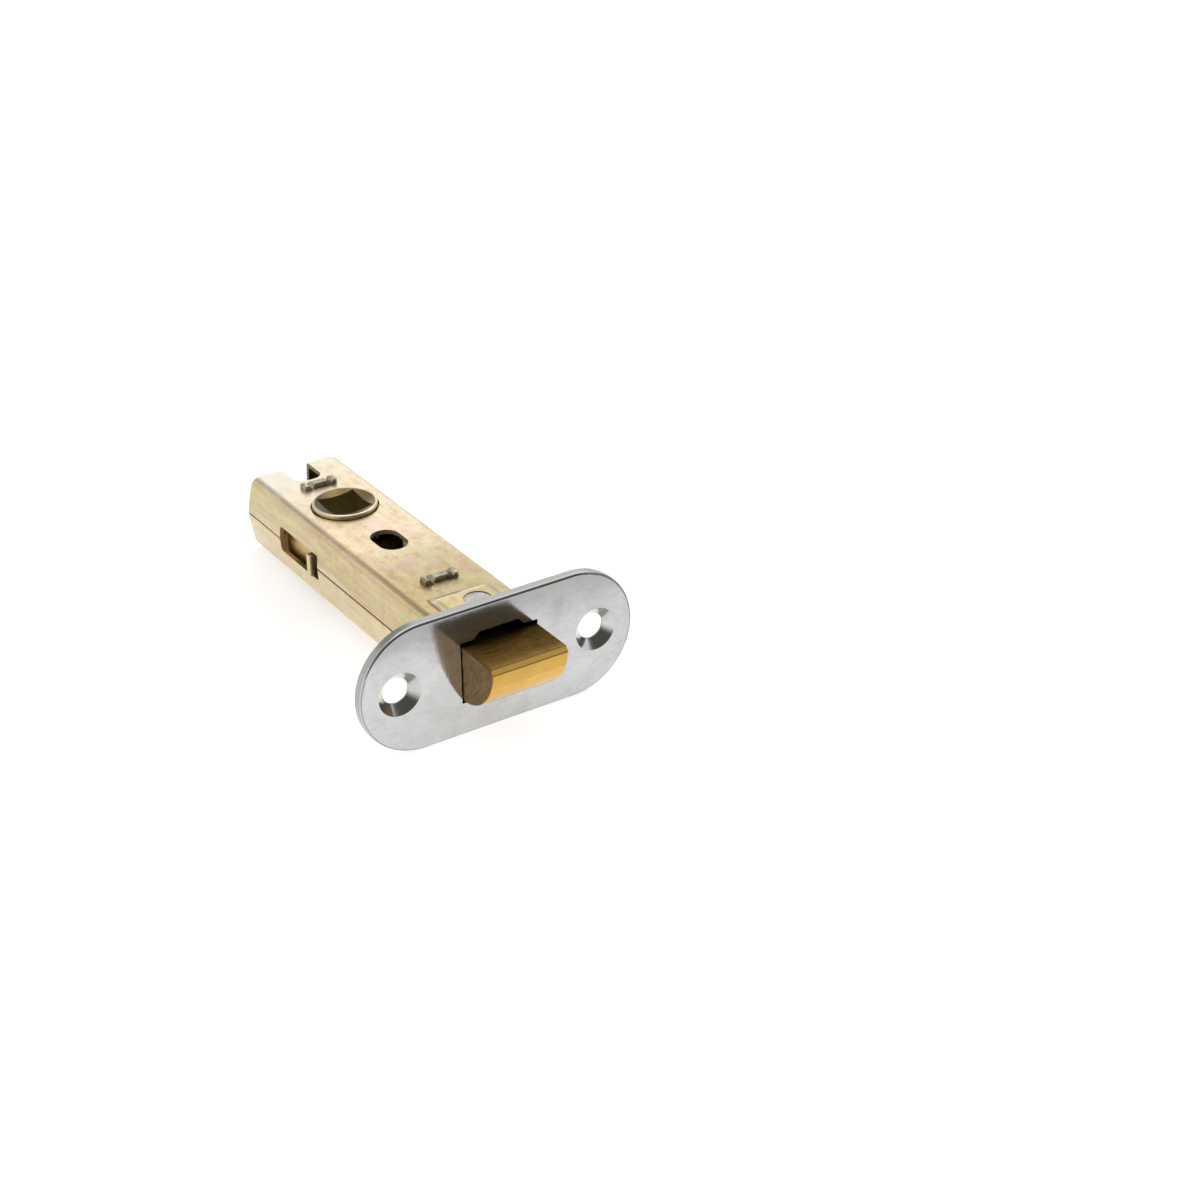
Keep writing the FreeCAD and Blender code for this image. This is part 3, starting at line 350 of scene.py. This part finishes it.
def brass():
    """Bolt head: polished striking face, brushed top, dull sides."""
    f = Finish("bolt_brass", Metallic=1.0)
    across = f.noise(7.5, stretch=(1.0, 0.05, 1.0), turn=(0, 0, 4), seed=2.0, detail=3.0, rough=0.6)
    along = f.noise(6.0, stretch=(0.05, 1.0, 1.0), turn=(0, 0, 8), seed=15.0, detail=3.0, rough=0.6)
    hatch_a = f.noise(5.0, stretch=(1.0, 1.0, 0.06), turn=(0, 34, 0), seed=6.0, detail=3.0, rough=0.6)
    hatch_b = f.noise(5.0, stretch=(1.0, 1.0, 0.06), turn=(0, -42, 0), seed=12.0, detail=3.0, rough=0.6)
    cloud = f.noise(0.28, seed=4.0, detail=4.0, rough=0.6)
    side = f.step(f.size(f.ny), 0.55, 0.90)
    # the striking face leans down and forward
    strike = f.mul(f.step(f.nx, 0.20, 0.50), f.step(f.nz, 0.05, 0.25, (1.0, 0.0)))
    gold = f.ramp(cloud, [(0.3, (0.645, 0.380, 0.055)), (0.7, (0.70, 0.422, 0.078))])
    gold = f.shade(gold, f.step(across, 0.3, 0.7, (0.95, 1.03)))
    top = f.ramp(cloud, [(0.3, (0.38, 0.205, 0.042)), (0.7, (0.46, 0.265, 0.062))])
    top = f.shade(top, f.step(across, 0.30, 0.70, (0.96, 1.03)))
    top = f.shade(top, f.step(along, 0.30, 0.70, (0.88, 1.10)))
    # the lip is ground; painted shade darkens the top near the forend and again mid-way, and a painted reflection
    # lightens it near the lip
    lip = f.mul(f.step(f.x, 9.85, 10.0), f.step(f.nx, 0.25, 0.45))
    painted_top_shade = f.mul(f.step(f.x, -0.4, 2.4, (0.12, 0.88)), f.step(f.x, 5.0, 8.0, (1.0, 0.74)))
    top = f.shade(top, f.mul(painted_top_shade, f.step(f.x, 8.6, 9.9, (1.0, 1.25))))
    top = f.mix(lip, top, (0.73, 0.445, 0.095))
    dull = f.ramp(cloud, [(0.3, (0.21, 0.122, 0.042)), (0.7, (0.27, 0.165, 0.062))])
    dull = f.shade(dull, f.step(hatch_a, 0.34, 0.66, (0.70, 1.30)))
    dull = f.shade(dull, f.step(hatch_b, 0.34, 0.66, (0.74, 1.26)))
    colour = f.mix(strike, top, gold)
    colour = f.mix(side, colour, dull)
    # rubbed arrises, and dark lines along both sides of the lip
    arris = f.mul(f.near(f.size(f.y), 7.62, 0.30), f.step(f.size(f.ny), 0.25, 0.5))
    colour = f.mix(f.mul(f.mul(arris, f.step(f.size(f.ny), 0.6, 0.9, (1.0, 0.0))), 0.25), colour, (0.60, 0.40, 0.14))
    lip_edge_dark = f.math("MAXIMUM", f.mul(f.near(f.z, 4.65, 0.20), f.step(f.x, 10.4, 10.6)),
                  f.mul(f.mul(f.near(f.x, 9.95, 0.20), f.step(f.z, 5.3, 5.5)), 0.75))
    colour = f.mix(f.mul(lip_edge_dark, 0.85), colour, (0.09, 0.05, 0.015))
    f.put("Base Color", colour)
    rough = f.step(strike, 0.0, 1.0, (0.30, 0.24))
    rough = f.plus(rough, f.plus(f.mul(side, 0.10), f.mul(lip, 0.18)))
    f.put("Metallic", f.step(lip, 0.0, 1.0, (1.0, 0.50)))
    f.put("Roughness", f.plus(rough, f.step(across, 0.3, 0.7, (-0.05, 0.06))))
    lines = f.relief(across, 0.008, 0.25)
    f.put("Normal", f.relief(f.mul(f.plus(hatch_a, hatch_b), side), 0.008, 0.30, lines))
    return f.mat


def bronze():
    """Follower: dull bronze-coloured, with the speckle of pressed powder."""
    f = Finish("follower_bronze", Metallic=1.0)
    grain = f.noise(4.5, seed=2.0, detail=3.0, rough=0.6)
    pores = f.step(f.cells(3.2, seed=5.0), 0.10, 0.22, (1.0, 0.0))
    cloud = f.noise(0.28, seed=8.0, detail=4.0)
    colour = f.ramp(cloud, [(0.3, (0.30, 0.225, 0.115)), (0.55, (0.40, 0.315, 0.18)), (0.75, (0.36, 0.30, 0.19))])
    colour = f.shade(colour, f.step(grain, 0.3, 0.7, (0.82, 1.08)))
    # painted shade in the dished end: darker and browner, darker still towards -Y, broken by the cloud
    inside = f.mul(f.step(f.radius(-57.0, 0.0), 5.75, 6.0, (1.0, 0.0)), f.step(f.size(f.z), 6.2, 6.8))
    lean = f.plus(f.mul(f.plus(f.x, 57.0), 0.25), f.mul(f.y, -0.97))
    lean = f.plus(lean, f.mul(f.minus(cloud, 0.5), 5.0))
    colour = f.shade(colour, f.plus(1.0, f.mul(inside, f.step(lean, -2.5, 3.0, (0.0, -0.70)))))
    colour = f.mix(inside, colour, (0.66, 0.60, 0.46), "MULTIPLY")
    # painted light: the square bore is lightened
    bore = f.mul(f.step(f.radius(-57.0, 0.0), 5.72, 5.80, (1.0, 0.0)), f.step(f.size(f.nz), 0.2, 0.4, (1.0, 0.0)))
    colour = f.mix(f.mul(bore, 0.70), colour, (0.60, 0.53, 0.31))
    # worn bright on the collar's rim
    rim = f.mul(f.near(f.radius(-57.0, 0.0), 6.15, 0.34), f.step(f.size(f.z), 8.05, 8.30))
    colour = f.mix(f.mul(rim, f.step(cloud, 0.35, 0.6, (0.55, 0.95))), colour, (0.86, 0.77, 0.57))
    # painted light round the outside of the collar
    turned = f.mul(f.mul(f.step(f.radius(-57.0, 0.0), 6.2, 6.3), f.step(f.size(f.z), 6.9, 7.2)), f.step(f.size(f.nz), 0.7, 0.3))
    colour = f.mix(f.mul(turned, 0.8), colour, (0.66, 0.54, 0.33))
    colour = f.mix(f.mul(pores, 0.5), colour, (0.14, 0.10, 0.05))
    f.put("Base Color", colour)
    f.put("Roughness", f.step(grain, 0.3, 0.7, (0.28, 0.42)))
    f.put("Normal", f.relief(grain, 0.03, 0.4))
    return f.mat


def steel(name, dark, light, low=0.28, high=0.42, along=(0.15, 1, 1)):
    """Plain plated or bare steel with drawn marks."""
    f = Finish(name, Metallic=1.0)
    cloud = f.noise(0.5, seed=3.0, detail=4.0, rough=0.6)
    drawn = f.noise(2.0, stretch=along, seed=6.0, detail=4.0, rough=0.6)
    colour = f.ramp(cloud, [(0.3, dark), (0.7, light)])
    colour = f.shade(colour, f.step(drawn, 0.3, 0.7, (0.82, 1.10)))
    f.put("Base Color", colour)
    f.put("Roughness", f.plus(f.step(cloud, 0.3, 0.7, (low, high)), f.step(drawn, 0.3, 0.7, (-0.03, 0.05))))
    f.put("Normal", f.relief(drawn, 0.02, 0.4))
    return f.mat


def staked():
    """Spacer plate: brown and oily in the case, burnished where it was staked over."""
    f = Finish("staked_steel", Metallic=1.0)
    cloud = f.noise(0.6, seed=3.0, detail=4.0, rough=0.6)
    blows = f.noise(1.3, stretch=(1, 1, 0.4), seed=6.0, detail=4.0, rough=0.6)
    bare = f.ramp(cloud, [(0.3, (0.25, 0.215, 0.14)), (0.7, (0.42, 0.38, 0.275))])
    bare = f.mix(f.mul(f.step(blows, 0.52, 0.70), 0.6), bare, (0.56, 0.53, 0.46))
    brown = f.ramp(cloud, [(0.3, (0.20, 0.095, 0.030)), (0.7, (0.36, 0.185, 0.065))])
    f.put("Base Color", f.mix(f.step(f.size(f.z), 6.7, 7.3), brown, bare))
    f.put("Roughness", f.step(blows, 0.3, 0.7, (0.34, 0.20)))
    f.put("Normal", f.relief(blows, 0.10, 0.45))
    return f.mat


zinc_case = passivated("zinc_case", case=True)
zinc_tail = passivated("zinc_tail", tone=0.95, warm=True)
finishes = {
    "forend": nickel(),
    "upper_case": zinc_case,
    "lower_case": zinc_case,
    "front_spacer": staked(),
    "upper_bolt_guide": steel("inner_steel", (0.34, 0.31, 0.25), (0.46, 0.43, 0.36)),
    "latch_bolt": brass(),
    "left_tail_arm": zinc_tail,
    "follower": bronze(),
    "left_tail_rivet": steel("rivet_steel", (0.40, 0.38, 0.34), (0.54, 0.52, 0.48)),
}
finishes["rear_spacer"] = finishes["front_spacer"]
finishes["lower_bolt_guide"] = finishes["spring_guide_pin"] = finishes["upper_bolt_guide"]
finishes["right_tail_arm"] = finishes["left_tail_arm"]
finishes["right_tail_rivet"] = finishes["left_tail_rivet"]
for name, mat in finishes.items():
    nodes[name].data.materials.clear()
    nodes[name].data.materials.append(mat)


# --------------------------------------------------------------------------
# Bolt spring: drawn wire, closed end turns
# --------------------------------------------------------------------------
def coil(name, start, end, rad, wire, turns, closed=1.1, around=12, per_turn=48):
    """A compression spring along X whose end turns lie against each other."""
    steps = int(turns * per_turn)
    pitch_dead = 2.05 * wire
    live = (end - start - 2 * wire) - 2 * closed * pitch_dead
    centres = []
    for i in range(steps + 1):
        t = turns * i / steps
        if t < closed:
            x = pitch_dead * t
        elif t > turns - closed:
            x = pitch_dead * closed + live + pitch_dead * (t - turns + closed)
        else:
            s = (t - closed) / (turns - 2 * closed)
            ease = s * s * (3 - 2 * s)
            x = pitch_dead * closed + live * (0.85 * s + 0.15 * ease)
        a = 2 * math.pi * t
        centres.append(Vector((start + wire + x, rad * math.cos(a), rad * math.sin(a))))
    verts, faces = [], []
    for i, c in enumerate(centres):
        ahead = (centres[min(i + 1, steps)] - centres[max(i - 1, 0)]).normalized()
        out = Vector((0, c.y, c.z)).normalized()
        side = ahead.cross(out).normalized()
        out = side.cross(ahead)
        for k in range(around):
            a = 2 * math.pi * k / around
            verts.append((c + out * wire * math.cos(a) + side * wire * math.sin(a)) * MM)
    for i in range(steps):
        for k in range(around):
            a, b = i * around + k, i * around + (k + 1) % around
            faces.append((a, b, b + around, a + around))
    faces.append(tuple(range(around - 1, -1, -1)))
    faces.append(tuple(steps * around + k for k in range(around)))
    mesh = bpy.data.meshes.new(name)
    mesh.from_pydata([tuple(v) for v in verts], [], faces)
    mesh.polygons.foreach_set("use_smooth", [len(p.vertices) == 4 for p in mesh.polygons])
    mesh.update()
    piece = bpy.data.objects.new(name, mesh)
    scene.collection.objects.link(piece)
    return piece


spring = coil("wound_spring", -19.8, 3.0, 3.15, 0.45, 9.0)
spring.data.materials.append(steel("spring_steel", (0.34, 0.34, 0.33), (0.52, 0.52, 0.50), 0.22, 0.34, (1, 0.3, 0.3)))
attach(spring, "case")
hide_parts("bolt_spring")
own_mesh(spring)


# --------------------------------------------------------------------------
# Floor: a pale lit table; the latch lies on the forend's lower edge and the rear stake
# --------------------------------------------------------------------------
def floor_piece():
    f = Finish("pale_floor", Roughness=0.6)
    f.put("Base Color", f.ramp(f.noise(0.02, seed=1.0), [(0.3, (0.66, 0.66, 0.66)), (0.7, (0.68, 0.68, 0.68))]))
    f.put("Specular IOR Level", 0.1)
    f.put("Emission Color", (1.0, 1.0, 1.0, 1.0))
    # painted pool of light: the floor glows more strongly round the forend
    f.put("Emission Strength", f.step(f.radius(2.0, 0.0), 2.0, 55.0, (0.78, 0.50)))
    mesh = bpy.data.meshes.new("floor")
    s = 2.5
    mesh.from_pydata([(-s, -s, 0), (s, -s, 0), (s, s, 0), (-s, s, 0)], [], [(0, 1, 2, 3)])
    mesh.materials.append(f.mat)
    piece = bpy.data.objects.new("floor", mesh)
    scene.collection.objects.link(piece)
    front, rear = Vector((-1.75, 0, -12.72)), Vector((-68.7, 0, -8.57))
    tilt = math.atan2(rear.z - front.z, front.x - rear.x)
    piece.matrix_world = Matrix.Translation(front * MM) @ Matrix.Rotation(tilt, 4, "Y")
    return piece


floor_piece()


def backdrop_piece():
    """A pale round wall far behind the table, which neither lights it nor shades it."""
    f = Finish("pale_backdrop", Roughness=0.9)
    f.put("Base Color", f.ramp(f.noise(0.004, seed=2.0), [(0.3, (0.78, 0.78, 0.78)), (0.7, (0.80, 0.80, 0.80))]))
    f.put("Specular IOR Level", 0.0)
    f.put("Emission Color", (1.0, 1.0, 1.0, 1.0))
    f.put("Emission Strength", 1.25)
    sides, rad, foot, head = 96, 2.2, -0.6, 2.2
    ring = [(rad * math.cos(2 * math.pi * i / sides), rad * math.sin(2 * math.pi * i / sides)) for i in range(sides)]
    points = [(x, y, foot) for x, y in ring] + [(x, y, head) for x, y in ring]
    quads = [(i, sides + i, sides + (i + 1) % sides, (i + 1) % sides) for i in range(sides)]
    mesh = bpy.data.meshes.new("backdrop")
    mesh.from_pydata(points, [], quads)
    mesh.materials.append(f.mat)
    piece = bpy.data.objects.new("backdrop", mesh)
    scene.collection.objects.link(piece)
    for ray in ("diffuse", "glossy", "transmission", "volume_scatter", "shadow"):
        setattr(piece, "visible_" + ray, False)
    return piece


backdrop_piece()

# --------------------------------------------------------------------------
# Soft studio light: a pale tent, open and so dimmer in front, with grey cards behind
# --------------------------------------------------------------------------
world = bpy.data.worlds.new("tent")
scene.world = world
world.use_nodes = True
wt = world.node_tree
wt.nodes.clear()
w_out = wt.nodes.new("ShaderNodeOutputWorld")
w_bg = wt.nodes.new("ShaderNodeBackground")
wt.links.new(w_bg.outputs[0], w_out.inputs[0])
w_co = wt.nodes.new("ShaderNodeTexCoord").outputs["Generated"]


def w_along(direction):
    n = wt.nodes.new("ShaderNodeVectorMath")
    n.operation = "DOT_PRODUCT"
    wt.links.new(w_co, n.inputs[0])
    n.inputs[1].default_value = Vector(direction).normalized()
    return n.outputs["Value"]


def w_step(value, low, high, start, end):
    n = wt.nodes.new("ShaderNodeMapRange")
    n.interpolation_type = "SMOOTHSTEP"
    wt.links.new(value, n.inputs[0])
    for i, v in zip((1, 2, 3, 4), (low, high, start, end)):
        n.inputs[i].default_value = v
    return n.outputs[0]


def w_math(op, a, b):
    n = wt.nodes.new("ShaderNodeMath")
    n.operation = op
    for socket, value in zip(n.inputs, (a, b)):
        if isinstance(value, float):
            socket.default_value = value
        else:
            wt.links.new(value, socket)
    return n.outputs[0]


def w_flag(azimuth, inner, outer, rise, dark):
    """A low dark card standing at an azimuth: 1 where it isn't, dark where it is."""
    a = math.radians(azimuth)
    beside = w_step(w_along((math.cos(a), math.sin(a), 0)), math.cos(math.radians(outer)), math.cos(math.radians(inner)), 0.0, 1.0)
    low = w_step(w_along((0, 0, 1)), rise, rise * 1.9, 1.0, 0.0)
    return w_math("SUBTRACT", 1.0, w_math("MULTIPLY", w_math("MULTIPLY", beside, low), 1.0 - dark))


tent = w_step(w_along((0.88, 0.02, 0.47)), 0.48, 0.76, 1.0, 0.16)
tent = w_math("MULTIPLY", tent, w_step(w_along((-0.73, -0.08, 0.67)), 0.89, 0.97, 1.0, 0.36))
tent = w_math("MULTIPLY", tent, w_flag(138.0, 12.0, 24.0, 0.10, 0.35))
tent = w_math("MULTIPLY", tent, w_step(w_along((-0.76, 0.40, 0.50)), 0.55, 0.92, 1.0, 1.32))
tent = w_math("ADD", tent, w_step(w_along((0, 0, 1)), 0.84, 0.97, 0.0, 0.9))
wt.links.new(tent, w_bg.inputs["Strength"])
w_bg.inputs["Color"].default_value = (1.0, 0.995, 0.985, 1.0)


def softbox(name, place, target, size, power):
    light = bpy.data.lights.new(name, "AREA")
    light.shape = "RECTANGLE"
    light.size, light.size_y = size
    light.energy = power
    ob = bpy.data.objects.new(name, light)
    scene.collection.objects.link(ob)
    ob.location = place
    ob.rotation_euler = (Vector(target) - Vector(place)).to_track_quat("-Z", "Y").to_euler()
    return ob


softbox("back_right", (-0.30, 0.55, 0.62), (-0.03, 0, 0), (0.40, 0.34), 0.6)

# --------------------------------------------------------------------------
# Camera, at the photograph's viewing angle
# --------------------------------------------------------------------------
cam_data = bpy.data.cameras.new("camera")
cam_data.sensor_fit = "HORIZONTAL"
cam_data.sensor_width = 36.0
cam_data.lens = 71.64
cam_data.clip_start, cam_data.clip_end = 0.01, 20.0
cam = bpy.data.objects.new("camera", cam_data)
scene.collection.objects.link(cam)
right, up, back = Vector((0.55654, 0.8308, -0.00603)), Vector((-0.39956, 0.27401, 0.8748)), Vector((0.72843, -0.48445, 0.48445))
cam.matrix_world = Matrix.Translation((0.316406, -0.188899, 0.216201)) @ Matrix((right, up, back)).transposed().to_4x4()
scene.camera = cam
scene.view_settings.view_transform = "Standard"
scene.view_settings.look = "None"
